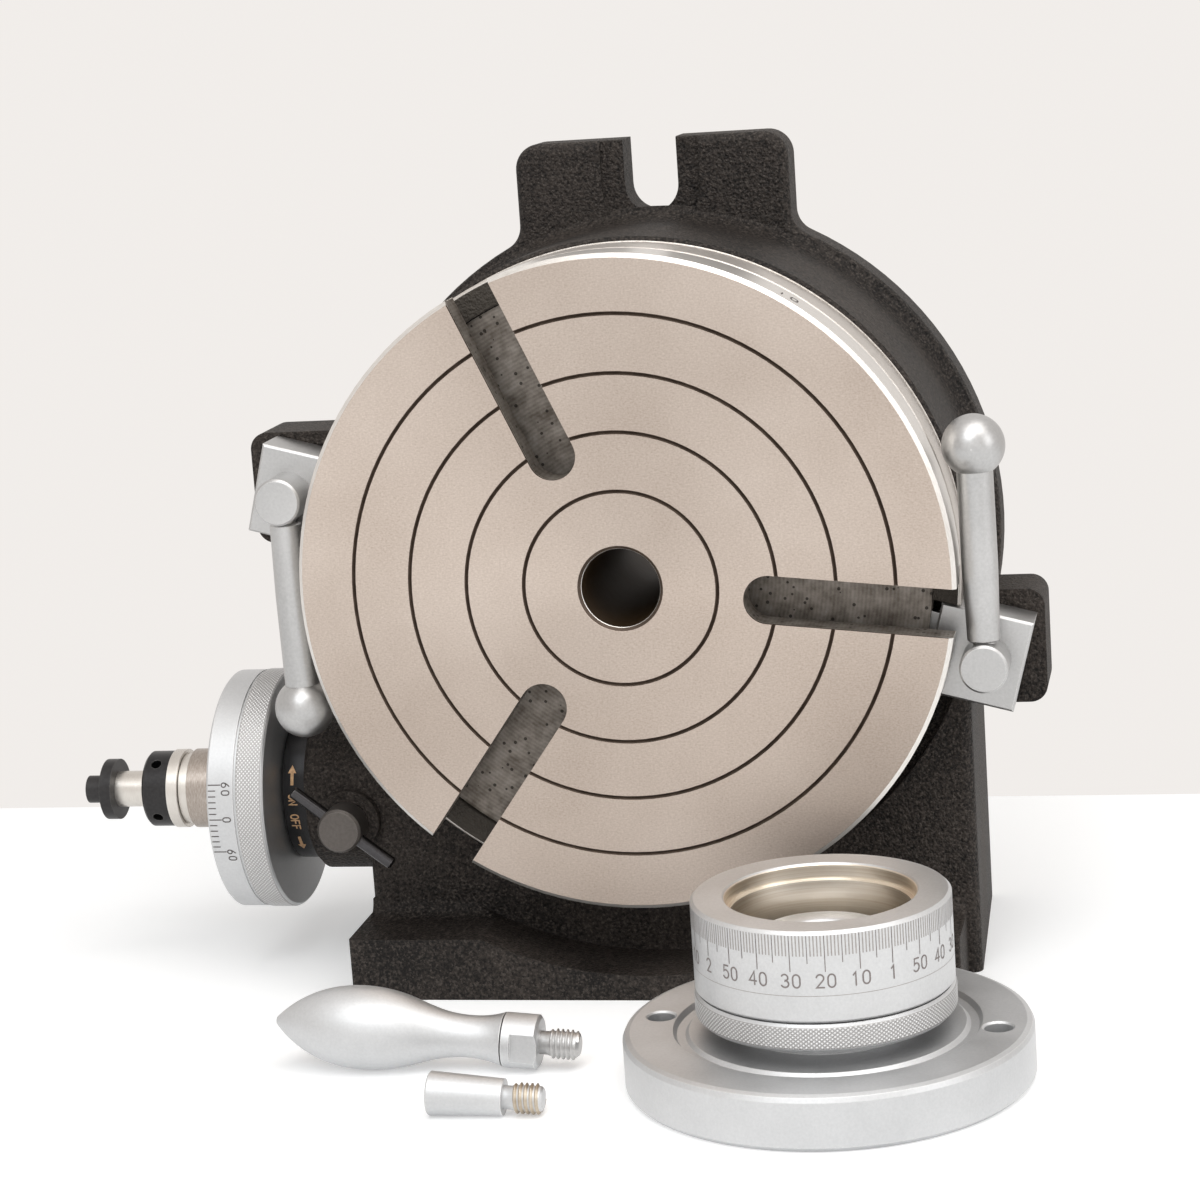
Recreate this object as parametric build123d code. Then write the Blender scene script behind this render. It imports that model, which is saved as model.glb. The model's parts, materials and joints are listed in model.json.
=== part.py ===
from build123d import *
from math import atan2, cos, degrees, pi, radians, sin, sqrt, tan
import os

# Upright rotary table, millimetres.
# The frame stands on the floor: Z is up, the origin is on the foot face below the table axis and
# half way between the table face and the rear base, and the table face looks along -Y.
# The head is drawn in a face frame: x right, y up, depth into the body, all from the face centre.

# Driving sizes of the table
table_radius = 75.0
rim_thickness = 12.3
face_chamfer = 1.0
groove_radii = (22.1, 35.4, 48.6, 61.8)
groove_width = 0.9
groove_depth = 0.6
slot_count = 3
slot_rest_angle = -6.0
slot_width = 11.0
slot_lip = 8.0
slot_head_width = 18.0
slot_floor = 14.5
slot_inner_radius = 27.9
rim_overhang = 6.5
clamp_groove_start = 15.8
clamp_groove_end = 18.7
clamp_groove_height = 3.3
table_back = 20.5
hub_radius = 38.0
register_radius = 9.0
register_depth = 6.0
taper_end_radius = 6.8
taper_set_back = 15.5
bore_chamfer = 0.8
journal_radius = 24.0

# Rear end of the spindle
rear_recess = 12.5
thrust_washer_thickness = 1.8
locknut_thickness = 7.0
locknut_set_back = 3.5
spindle_thread_radius = 18.0
locknut_radius = 27.0
cover_radius = 33.8
cover_set_back = 2.6
cover_thickness = 2.2
cover_hole_radius = 9.0
cover_screw_circle = 31.2
cover_screw_count = 3
cover_screw_radius = 1.25
cover_screw_length = 7.0

# Worm gear
wheel_teeth = 90
gear_module = 1.0
worm_pitch_radius = 10.0
pressure_angle = 20.0
flank_clearance = 0.09
root_clearance = 0.25
wheel_width = 14.0
wheel_wing = 0.6
wheel_bore_radius = 30.0
wheel_screw_count = 4
wheel_screw_radius = 2.0
wheel_screw_head_radius = 3.4
wheel_screw_head_height = 3.5
wheel_screw_circle = 34.4
worm_depth = 37.0
worm_length = 27.0
eccentric_offset = 2.5

# Body casting
centre_height = 97.5
overall_depth = 80.0
face_to_origin = 40.0
band_start = 13.5
band_end = 26.0
band_relief = 3.0
drum_radius = 76.2
plate_thickness = 12.0
flange_radius = 80.0
plate_edge_round = 2.2
lug_half_width = 33.3
lug_rise = 15.8
lug_corner = 6.0
lug_slot_width = 13.0
lug_slot_length = 17.6
lug_recess_width = 24.0
lug_recess_depth = 1.2
wall_front = 21.0
wall_left = 70.2
wall_right = 75.2
wall_rear_half = 73.0
wall_top = 28.0
wall_round = 2.5
foot_front = 1.5
foot_height = 14.7
foot_left = 71.2
foot_right = 72.0
foot_fillet = 4.0
scoop_radius = 91.6
pocket_depth = 18.0
pocket_wall = 9.0
pocket_rib = 10.0
low_pocket_height = 14.5
low_pocket_half_gap = 28.0
housing_radius = 20.5
housing_left = -85.0
housing_right = 42.0
ear_root = 40.0
ear_end = 9.7
ear_half_height = 13.2
ear_drop = 21.2
ear_depth = 17.0

# Eccentric sleeve and what it carries
sleeve_radius = 16.0
sleeve_flange_radius = 18.0
sleeve_flange_width = 5.8
sleeve_end = 36.0
trough_half_length = 28.5
trough_turn = 30.0
trough_floor = 1.2
nose_radius = 9.75
nose_end = -117.4
ring_radius = 29.0
ring_width = 14.0
ring_gap = 0.6
bearing_width = 2.5
collar_width = 2.7
collar_radius = 9.7
nut_width = 6.6
nut_radius = 9.3
journal_front_radius = 6.0
journal_rear_radius = 5.0
front_bush_wall = 1.95
front_bush_length = 16.8
shaft_radius = 4.45
shaft_end = -137.9
washer_width = 2.9
washer_radius = 7.5
cap_screw_radius = 2.0
cap_head_radius = 3.4
cap_head_length = 5.1
spanner_hole_radius = 1.3

# Table clamps
clamp_angle = -15.0
clamp_bolt_out = 7.6
block_side = 21.0
block_thickness = 12.0
block_overlap = 5.0
clamp_nose_reach = 4.3
clamp_nose_thickness = 2.2
clamp_nose_width = 15.0
clamp_thread_radius = 4.0
clamp_head_radius = 5.45
clamp_head_height = 10.0
lever_length = 49.5
lever_tenon_radius = 2.5
lever_root_radius = 3.65
lever_radius = 4.05
lever_angles = (90.6, -89.0)
ball_radius = 7.0

# Lock screw of the eccentric sleeve
lock_x = -73.9
lock_y = -58.8
lock_head_radius = 5.3
lock_head_near = 10.0
lock_head_height = 7.0
lock_thread_radius = 4.0
lock_pad_length = 1.8
lock_bar_radius = 1.5
lock_bar_length = 29.6
lock_bar_angle = -38.0

# Handwheel, dial collar, crank handle and taper knob, lying in front on the floor
handwheel_place = (47.8, -84.8)
handwheel_radius = 43.6
handwheel_rim = 12.0
handwheel_hole_reach = 36.4
handwheel_hole_turn = -4.6
handwheel_tap_radius = 3.05
handwheel_hub_radius = 12.5
handwheel_hub_top = 25.5
dial_radius = 27.5
dial_seat = 15.0
lock_ring_height = 6.1
dial_top = 40.8
dial_bore_radius = 19.2
dial_mouth_radius = 20.2
dial_neck_radius = 22.8
stud_radius = 3.3
handle_place = (-54.6, -82.3)
handle_belly_radius = 9.2
handle_belly_at = 20.5
handle_grip_end = 51.6
ferrule_end = 59.7
ferrule_radius = 6.0
handle_stud_end = 68.5
knob_place = (-33.7, -109.2)
knob_length = 16.2
knob_large_radius = 4.7
knob_small_radius = 3.9
knob_stud_end = 24.6

# Fits and gaps
running = 0.05
slide_gap = 0.25
seat_gap = 0.1

# Values that follow from the driving sizes
spigot_radius = table_radius - rim_overhang
clamp_groove_radius = spigot_radius - clamp_groove_height
plate_front = overall_depth - plate_thickness
boss_back = overall_depth - rear_recess
nut_far = overall_depth - locknut_set_back
nut_near = nut_far - locknut_thickness
cover_near = overall_depth - cover_set_back
taper_end = overall_depth - taper_set_back
lug_height = flange_radius + lug_rise
lug_slot_root = lug_height - lug_slot_length
clamp_bolt_reach = table_radius + clamp_bolt_out
block_inner = table_radius - block_overlap
ear_reach = clamp_bolt_reach + ear_end
block_front = band_start + 0.5
block_back = block_front + block_thickness
ear_front = block_back + 0.5
cavity_radius = spigot_radius + slide_gap
cavity_floor = table_back + slide_gap
wheel_pitch_radius = gear_module * wheel_teeth / 2
wheel_tip_radius = wheel_pitch_radius + gear_module
wheel_root_radius = wheel_pitch_radius - gear_module - root_clearance
wheel_near = worm_depth - wheel_width / 2
wheel_far = worm_depth + wheel_width / 2
wheel_cavity_radius = wheel_tip_radius + wheel_wing + 1.4
wheel_cavity_floor = wheel_far + 3.0
worm_tip_radius = worm_pitch_radius + gear_module
worm_root_radius = worm_pitch_radius - gear_module - root_clearance
worm_lead = pi * gear_module
worm_y = -(wheel_pitch_radius + worm_pitch_radius)
sleeve_depth = worm_depth + eccentric_offset
sleeve_bore_radius = worm_tip_radius + 0.4
flange_left = housing_left - sleeve_flange_width
ring_right = flange_left - ring_gap
ring_left = ring_right - ring_width
bearing_left = nose_end - bearing_width
collar_left = bearing_left - collar_width
round_nut_left = collar_left - nut_width
washer_left = shaft_end - washer_width
lever_depth = block_front - clamp_head_height / 2
lock_head_far = lock_head_near + lock_head_height
dial_groove = dial_seat + lock_ring_height
FACE = Location((0, -face_to_origin, centre_height), (90, 0, 0))


def drum(radius, near, far):
    """Cylinder about the table axis between two depths."""
    return Pos(0, 0, -far) * Cylinder(radius, far - near, align=(Align.CENTER, Align.CENTER, Align.MIN))


def tube(outer, inner, near, far):
    """Ring about the table axis between two depths."""
    return drum(outer, near, far) - drum(inner, near - 1, far + 1)


def pin(radius, x, y, near, far):
    """Cylinder along the depth through a point of the face."""
    return Pos(x, y, 0) * drum(radius, near, far)


def rod(radius, x0, x1, y, depth):
    """Cylinder along x at a height and depth."""
    place = Location((x0, y, -depth), (0, 90, 0))
    return place * Cylinder(radius, x1 - x0, align=(Align.CENTER, Align.CENTER, Align.MIN))


def worm_rod(radius, x0, x1):
    """Cylinder on the worm axis."""
    return rod(radius, x0, x1, worm_y, worm_depth)


def sleeve_rod(radius, x0, x1):
    """Cylinder on the axis that the eccentric sleeve turns about."""
    return rod(radius, x0, x1, worm_y, sleeve_depth)


def slab(x0, x1, y0, y1, near, far):
    """Block given by its limits in x, y and depth."""
    return Pos(x0, y0, -far) * Box(x1 - x0, y1 - y0, far - near, align=Align.MIN)


def turned(points):
    """Solid of revolution about the table axis from radius and depth pairs."""
    outline = Polyline([(r, 0, -d) for r, d in points], close=True)
    return revolve(make_face(outline), Axis.Z)


def upright(points):
    """Solid of revolution about a standing axis from radius and height pairs."""
    outline = Polyline([(r, 0, z) for r, z in points], close=True)
    return revolve(make_face(outline), Axis.Z)


def clamp_frame(side):
    """Frame of one clamp: x runs outward through its bolt; side is 0 on the right, 1 on the left."""
    return Rot(0, 0, clamp_angle + 180 * side)


def t_slot():
    """Cutter of one T slot along x, open at the rim, with a round inner end."""
    centre = slot_inner_radius + slot_width / 2
    reach = table_radius + 5
    half = slot_width / 2
    throat = slab(centre, reach, -half, half, -1, slot_lip + 0.1) + pin(half, centre, 0, -1, slot_lip + 0.1)
    half = slot_head_width / 2
    head = slab(centre, reach, -half, half, slot_lip, slot_floor) + pin(half, centre, 0, slot_lip, slot_floor)
    return throat + head


def table_shape():
    """Faceplate with its rim, clamp groove, gear seat and spindle in one piece."""
    shape = turned([
        (0, 0),
        (table_radius - face_chamfer, 0),
        (table_radius, face_chamfer),
        (table_radius, rim_thickness - 0.4),
        (table_radius - 0.4, rim_thickness),
        (spigot_radius, rim_thickness),
        (spigot_radius, clamp_groove_start),
        (clamp_groove_radius, clamp_groove_start),
        (clamp_groove_radius, clamp_groove_end),
        (spigot_radius, clamp_groove_end),
        (spigot_radius, table_back),
        (hub_radius, table_back),
        (hub_radius, wheel_near),
        (wheel_bore_radius - running, wheel_near),
        (wheel_bore_radius - running, wheel_far + 1.5),
        (journal_radius, wheel_far + 1.5),
        (journal_radius, nut_near),
        (spindle_thread_radius, nut_near),
        (spindle_thread_radius, nut_far),
        (0, nut_far),
    ])
    half = groove_width / 2
    for radius in groove_radii:
        shape -= turned([(radius - half, 0), (radius - half, -1), (radius + half, -1), (radius + half, 0),
                         (radius, groove_depth)])
    shape -= turned([
        (0, -1),
        (register_radius + bore_chamfer, -1),
        (register_radius + bore_chamfer, 0),
        (register_radius, bore_chamfer),
        (register_radius, register_depth),
        (taper_end_radius, taper_end),
        (taper_end_radius, nut_far + 1),
        (0, nut_far + 1),
    ])
    for index in range(slot_count):
        shape -= Rot(0, 0, slot_rest_angle + 360 / slot_count * index) * t_slot()
    for index in range(wheel_screw_count):
        hole = pin(wheel_screw_radius, wheel_screw_circle, 0, wheel_near - 7, wheel_near + 1)
        shape -= Rot(0, 0, 360 / wheel_screw_count * (index + 0.5)) * hole
    return shape


def wheel_face(turn):
    """Tooth outline of the worm wheel, turned by an angle, with a tooth space at the bottom."""
    wing = wheel_tip_radius + wheel_wing
    slope = tan(radians(pressure_angle))
    half = pi * gear_module / 4 - flank_clearance
    points = []
    for tooth in range(wheel_teeth):
        middle = turn - pi / 2 + 2 * pi * (tooth + 0.5) / wheel_teeth
        for radius, sign in ((wheel_root_radius, -1), (wing, -1), (wing, 1), (wheel_root_radius, 1)):
            thickness = half - (radius - wheel_pitch_radius) * slope
            angle = middle + sign * thickness / radius
            points.append((radius * cos(angle), radius * sin(angle)))
    return make_face(Polyline(points, close=True))


def worm_wheel_shape():
    """Worm wheel: slanted teeth that follow the worm's lead, with a hollow throat round the worm."""
    lead_slope = gear_module / (2 * worm_pitch_radius)
    turn = wheel_width / 2 * lead_slope / wheel_pitch_radius
    near_face = Pos(0, 0, -wheel_near) * wheel_face(turn)
    far_face = Pos(0, 0, -wheel_far) * wheel_face(-turn)
    wheel = loft([far_face, near_face], ruled=True)
    wheel -= Pos(0, 0, -worm_depth) * Torus(-worm_y, -worm_y - wheel_tip_radius)
    wheel -= drum(wheel_bore_radius, wheel_near - 1, wheel_far + 1)
    for index in range(wheel_screw_count):
        hole = pin(wheel_screw_radius + running, wheel_screw_circle, 0, wheel_near - 1, wheel_far + 1)
        sink_depth = wheel_far - wheel_screw_head_height
        hole += pin(wheel_screw_head_radius + slide_gap, wheel_screw_circle, 0, sink_depth, wheel_far + 1)
        wheel -= Rot(0, 0, 360 / wheel_screw_count * (index + 0.5)) * hole
    return wheel


def wheel_screw_shape(index):
    sink_depth = wheel_far - wheel_screw_head_height
    screw = pin(wheel_screw_radius, wheel_screw_circle, 0, wheel_near - 6.5, sink_depth)
    screw += pin(wheel_screw_head_radius, wheel_screw_circle, 0, sink_depth, wheel_far)
    socket = Pos(wheel_screw_circle, 0, -wheel_far) * extrude(RegularPolygon(1.7, 6), 1.8)
    return Rot(0, 0, 360 / wheel_screw_count * (index + 0.5)) * (screw - socket)


def locknut_shape():
    nut = tube(locknut_radius, spindle_thread_radius, nut_near, nut_far)
    for index in range(4):
        reach = locknut_radius + 1
        nut -= Rot(0, 0, 45 + 90 * index) * slab(locknut_radius - 3, reach, -2.5, 2.5, nut_near - 1, nut_far + 1)
    return nut


def cover_shape():
    far = cover_near + cover_thickness
    cover = tube(cover_radius, cover_hole_radius, cover_near, far)
    for index in range(cover_screw_count):
        hole = pin(cover_screw_radius + running, cover_screw_circle, 0, cover_near - 1, far + 1)
        cover -= Rot(0, 0, 90 + 360 / cover_screw_count * index) * hole
    return cover


def cover_screw_shape(index):
    head_depth = cover_near + cover_thickness - 1.2
    screw = pin(cover_screw_radius, cover_screw_circle, 0, cover_near - cover_screw_length, head_depth + 1.2)
    return Rot(0, 0, 90 + 360 / cover_screw_count * index) * screw


def plate_outline():
    """Rear plate: round flange with the top lug."""
    lug = Pos(0, lug_height / 2) * Rectangle(2 * lug_half_width, lug_height)
    outline = Circle(flange_radius) + lug
    root_y = sqrt(flange_radius ** 2 - lug_half_width ** 2)
    outline = fillet([v for v in outline.vertices() if v.Y > lug_height - 1], lug_corner)
    roots = [v for v in outline.vertices() if abs(v.Y - root_y) < 0.5 and v.Y > 0]
    return fillet(roots, lug_corner)


def rear_plate():
    """Flange plate with the lug, its wrench recess and the U slot for a hold-down bolt."""
    plate = Pos(0, 0, -overall_depth) * extrude(plate_outline(), plate_thickness)
    plate = fillet(plate.edges().group_by(Axis.Z)[-1], plate_edge_round)
    slot_y = lug_slot_root + lug_slot_width / 2
    recess_far = plate_front + lug_recess_depth
    for half, far in ((lug_recess_width / 2, recess_far), (lug_slot_width / 2, overall_depth + 1)):
        plate -= slab(-half, half, slot_y, lug_height + 1, plate_front - 1, far)
        plate -= pin(half, 0, slot_y, plate_front - 1, far)
    return plate


def drum_casting():
    """Machined band, painted drum and its sweep out to the flange."""
    flare = flange_radius - drum_radius - 0.4
    steps = 6
    sweep_out = [
        (drum_radius + flare * (1 - cos(pi / 2 * i / steps)), plate_front - 8 + 8.5 * sin(pi / 2 * i / steps))
        for i in range(steps + 1)
    ]
    return turned([
        (0, band_start),
        (table_radius - 0.5, band_start),
        (table_radius, band_start + 0.5),
        (table_radius, band_end),
        (drum_radius - 0.6, band_end),
        (drum_radius, band_end + 0.8),
    ] + sweep_out + [(drum_radius, overall_depth - 2), (0, overall_depth - 2)])


def worm_housing():
    """Round housing of the worm with a flat front and the pad of the lock screw."""
    boss = sleeve_rod(housing_radius, housing_left, housing_right)
    boss = chamfer(boss.edges().group_by(Axis.X)[0], 1.2)
    boss -= slab(housing_left - 1, housing_right + 1, -centre_height, 0, 0, wall_front)
    pad = pin(7.5, lock_x, lock_y, lock_head_far + 1.6, sleeve_depth - sleeve_radius)
    return boss + pad


def ear(side):
    """Boss that carries one clamp bolt."""
    low = -ear_drop - ear_half_height
    block = slab(ear_root, ear_reach, low, low + 2 * ear_half_height, ear_front, ear_front + ear_depth)
    block = fillet(block.edges().filter_by(Axis.Z).group_by(Axis.X)[-1], 4)
    return Rot(0, 0, 180 * side) * block


def standing(points, bottom, height):
    """Upright prism from a plan of x and depth pairs."""
    plan = Plane(origin=(0, bottom, 0), x_dir=(1, 0, 0), z_dir=(0, 1, 0))
    return extrude(plan * Polygon(*points, align=None), height)


def lower_body():
    """Box below the drum with its flat front wall and slightly drawn-in sides."""
    body = standing([
        (-wall_left, wall_front),
        (wall_right, wall_front),
        (wall_rear_half, overall_depth),
        (-wall_rear_half, overall_depth),
    ], -centre_height, centre_height - wall_top)
    body = fillet(body.edges().filter_by(Axis.Y).group_by(Axis.Z)[-1], wall_round)
    return body - drum(table_radius + band_relief, wall_front - 1, band_end)


def foot():
    """Toe of the foot in front of the wall, scooped out round the table axis."""
    low = -centre_height
    top = low + foot_height
    toe = slab(-foot_left, foot_right, low, top, foot_front, wall_front + 3)
    toe = fillet(toe.edges().filter_by(Axis.Y).group_by(Axis.Z)[-1], 1)
    root = slab(-foot_left + 1, foot_right, top - 1, top + foot_fillet, wall_front - foot_fillet, wall_front + 3)
    root -= rod(foot_fillet, -foot_left, foot_right + 1, top + foot_fillet, wall_front - foot_fillet)
    return toe + root - drum(scoop_radius, foot_front - 1, wall_front)


def core_pockets():
    """Cored pockets in the rear of the body: four round the bearing boss and two below."""
    near = sleeve_depth + sleeve_radius + 5.5
    pocket = tube(flange_radius - pocket_wall - 5, cover_radius + pocket_wall + 2, near, overall_depth + 1)
    for angle in (45, 135):
        reach = flange_radius + pocket_rib
        pocket -= Rot(0, 0, angle) * slab(-reach, reach, -pocket_rib / 2, pocket_rib / 2, near - 1, overall_depth + 2)
    low = -centre_height + pocket_wall
    side = wall_rear_half - pocket_wall
    for x0, x1 in ((-side, -low_pocket_half_gap), (low_pocket_half_gap, side)):
        pocket += slab(x0, x1, low, low + low_pocket_height, overall_depth - pocket_depth, overall_depth + 1)
    return pocket


def base_casting_shape():
    body = rear_plate() + drum_casting() + lower_body() + worm_housing() + ear(0) + ear(1) + foot()
    body -= drum(cavity_radius, band_start - 1, cavity_floor)
    body -= drum(wheel_cavity_radius, band_start - 1, wheel_cavity_floor)
    body -= drum(journal_radius + running, band_start, overall_depth + 1)
    body -= drum(locknut_radius + 1.5, boss_back, overall_depth + 1)
    body -= drum(cover_radius + seat_gap, cover_near - seat_gap, overall_depth + 1)
    body -= core_pockets()
    body -= sleeve_rod(sleeve_radius + running, housing_left - 5, sleeve_end + 0.5)
    half = block_side / 2 + slide_gap
    for side in (0, 1):
        window = slab(block_inner - 2, ear_reach + 9, -half, half, band_start - 1, ear_front)
        hole = pin(clamp_thread_radius + running, clamp_bolt_reach, 0, ear_front - 1, ear_front + ear_depth + 1)
        body -= clamp_frame(side) * (window + hole)
    body -= pin(lock_thread_radius + running, lock_x, lock_y, lock_head_far, sleeve_depth)
    for index in range(cover_screw_count):
        hole = pin(cover_screw_radius, cover_screw_circle, 0, cover_near - cover_screw_length, overall_depth)
        body -= Rot(0, 0, 90 + 360 / cover_screw_count * index) * hole
    return body


def worm_thread():
    """Right-hand worm thread swept along its helix, a little sunk into the core."""
    slope = tan(radians(pressure_angle))
    half = pi * gear_module / 4 - flank_clearance
    sunk = worm_root_radius - 0.15 - worm_pitch_radius
    length = (int(worm_length / worm_lead) - 0.5) * worm_lead
    path = Helix(worm_lead, length, worm_pitch_radius, center=(-length / 2, 0, 0), direction=(1, 0, 0))
    start = path @ 0
    outward = Vector(0, start.Y, start.Z).normalized()
    section = Plane(origin=start, x_dir=outward, z_dir=path % 0)
    root = half - sunk * slope
    tip = half - gear_module * slope
    profile = Polygon((sunk, -root), (gear_module, -tip), (gear_module, tip), (sunk, root), align=None)
    return sweep(section * profile, path, is_frenet=True)


def worm_shaft_shape():
    """Worm, its journals and the drive end that takes the handwheel."""
    core = worm_rod(worm_root_radius, -worm_length / 2, worm_length / 2)
    shaft = core + Pos(0, worm_y, -worm_depth) * worm_thread()
    shaft += worm_rod(journal_front_radius, round_nut_left, -worm_length / 2)
    shaft += worm_rod(journal_rear_radius, worm_length / 2, sleeve_end - 0.5)
    shaft += worm_rod(shaft_radius, shaft_end, round_nut_left)
    return shaft - worm_rod(cap_screw_radius, shaft_end - 1, shaft_end + 10)


def eccentric_sleeve_shape():
    """Eccentric sleeve: its outside turns in the housing and its bore carries the worm off centre."""
    sleeve = sleeve_rod(sleeve_radius, housing_left - 1, sleeve_end)
    sleeve += sleeve_rod(sleeve_flange_radius, flange_left, housing_left - seat_gap)
    sleeve += worm_rod(nose_radius, nose_end, flange_left + 1)
    trough = slab(-trough_half_length, trough_half_length, trough_floor, 40, -40, 40)
    sleeve -= Pos(0, worm_y, -sleeve_depth) * Rot(-trough_turn, 0, 0) * trough
    sleeve -= worm_rod(sleeve_bore_radius, -trough_half_length + 6, sleeve_end + 1)
    sleeve -= worm_rod(journal_front_radius + 1, nose_end - 1, 0)
    sleeve -= worm_rod(journal_front_radius + 2, nose_end - 1, nose_end + 17)
    return sleeve


def vernier_ring_shape():
    """Knurled ring with the vernier, clamped on the nose of the sleeve."""
    ring = worm_rod(ring_radius, ring_left, ring_right)
    ring = chamfer(ring.edges().group_by(Axis.X)[0] + ring.edges().group_by(Axis.X)[-1], 0.5)
    middle = (ring_left + ring_right) / 2
    groove = worm_rod(ring_radius + 1, middle - 0.3, middle + 0.3)
    groove -= worm_rod(ring_radius - 0.35, middle - 1, middle + 1)
    ring -= groove
    ring -= worm_rod(ring_radius - 5, ring_left - 1, ring_left + 3) - worm_rod(nose_radius + 5, ring_left - 2, ring_right)
    ring -= worm_rod(nose_radius + running, ring_left - 1, ring_right + 1)
    return ring - ring_screw(0.1, ring_radius + 1)


def ring_screw(extra, far):
    """Radial screw of the vernier ring on the side away from the table face."""
    middle = ring_left + ring_width * 0.72
    return pin(2 + extra, middle, worm_y, worm_depth + nose_radius, worm_depth + far)


def round_nut_shape():
    """Round nut with four radial spanner holes."""
    nut = worm_rod(nut_radius, round_nut_left, collar_left)
    nut = chamfer(nut.edges().group_by(Axis.X)[0], 0.6)
    middle = (round_nut_left + collar_left) / 2
    hole = Pos(middle, worm_y, -worm_depth) * Rot(35, 0, 0) * Pos(0, 0, nut_radius - 3)
    for index in range(4):
        turn = Pos(0, worm_y, -worm_depth) * Rot(90 * index, 0, 0) * Pos(0, -worm_y, worm_depth)
        nut -= turn * hole * Cylinder(spanner_hole_radius, 8, align=(Align.CENTER, Align.CENTER, Align.MIN))
    return nut - worm_rod(journal_front_radius, round_nut_left - 1, collar_left + 1)


def worm_ring(outer, inner, x0, x1):
    """Plain ring on the worm axis."""
    return worm_rod(outer, x0, x1) - worm_rod(inner, x0 - 1, x1 + 1)


def cap_screw_shape():
    screw = worm_rod(cap_head_radius, washer_left - cap_head_length, washer_left)
    screw += worm_rod(cap_screw_radius, washer_left, shaft_end + 9)
    socket = Location((washer_left - cap_head_length, worm_y, -worm_depth), (0, 90, 0))
    return screw - socket * extrude(RegularPolygon(1.8, 6), 2.2)


def clamp_block_shape(side):
    """Square clamp block; its nose reaches into the groove of the table."""
    half = block_side / 2
    block = slab(block_inner, block_inner + block_side, -half, half, block_front, block_back)
    block = chamfer(block.edges().group_by(Axis.Z)[-1], 0.5)
    nose_near = clamp_groove_start + 0.3
    nose = slab(block_inner - clamp_nose_reach, block_inner + 1, -clamp_nose_width / 2, clamp_nose_width / 2,
                nose_near, nose_near + clamp_nose_thickness)
    hole = pin(clamp_thread_radius + 0.2, clamp_bolt_reach, 0, block_front - 1, block_back + 1)
    return clamp_frame(side) * (block + nose - hole)


def lever_frame(side):
    """Frame on the clamp bolt at the depth of the lever, x along the lever."""
    bolt = clamp_frame(side) * Pos(clamp_bolt_reach, 0, -lever_depth)
    return Pos(bolt.position) * Rot(0, 0, lever_angles[side])


def along_lever(points):
    """Solid of revolution about the lever from length and radius pairs."""
    return revolve(make_face(Polyline([(s, r, 0) for s, r in points], close=True)), Axis.X)


def clamp_screw_shape(side):
    head_front = block_front - clamp_head_height
    head = drum(clamp_head_radius, head_front, block_front)
    head = chamfer(head.edges().group_by(Axis.Z)[-1], 0.5)
    screw = head + drum(clamp_thread_radius, block_front, ear_front + ear_depth - 1)
    screw = clamp_frame(side) * Pos(clamp_bolt_reach, 0, 0) * screw
    tenon = along_lever([(1.5, 0), (1.5, lever_tenon_radius), (12, lever_tenon_radius), (12, 0)])
    return screw - lever_frame(side) * tenon


def clamp_lever_shape(side):
    shoulder = clamp_head_radius + seat_gap
    seat = lever_length - ball_radius * 0.8
    lever = along_lever([
        (2, 0),
        (2, lever_tenon_radius),
        (shoulder, lever_tenon_radius),
        (shoulder, lever_root_radius - 0.4),
        (shoulder + 0.4, lever_root_radius),
        (shoulder + 17, lever_radius),
        (seat, lever_radius),
        (seat, lever_tenon_radius),
        (lever_length, lever_tenon_radius),
        (lever_length, 0),
    ])
    return lever_frame(side) * lever


def clamp_ball_shape(side):
    seat = lever_length - ball_radius * 0.8
    ball = Pos(lever_length, 0, 0) * Sphere(ball_radius)
    ball -= along_lever([(0, 0), (0, 20), (seat, 20), (seat, lever_tenon_radius),
                         (lever_length, lever_tenon_radius), (lever_length, 0)])
    return lever_frame(side) * ball


def lock_bar_frame():
    return Location((lock_x, lock_y, -(lock_head_near + lock_head_far) / 2), (0, 0, lock_bar_angle))


def bar(radius, length):
    return Rot(0, 90, 0) * Cylinder(radius, length)


def lock_screw_shape():
    head = pin(lock_head_radius, lock_x, lock_y, lock_head_near, lock_head_far)
    head = chamfer(head.edges().group_by(Axis.Z)[-1], 0.6)
    pad_near = sleeve_depth - sleeve_radius - 0.2 - lock_pad_length
    screw = head + pin(lock_thread_radius, lock_x, lock_y, lock_head_far, pad_near)
    return screw - lock_bar_frame() * bar(lock_bar_radius + running, 3 * lock_head_radius)


def lock_pad_shape():
    far = sleeve_depth - sleeve_radius - 0.2
    return pin(lock_thread_radius - 0.1, lock_x, lock_y, far - lock_pad_length, far)


def lock_bar_shape():
    rod_body = bar(lock_bar_radius, lock_bar_length)
    rod_body = chamfer(rod_body.edges().filter_by(GeomType.CIRCLE), 0.5)
    return lock_bar_frame() * rod_body


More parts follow.
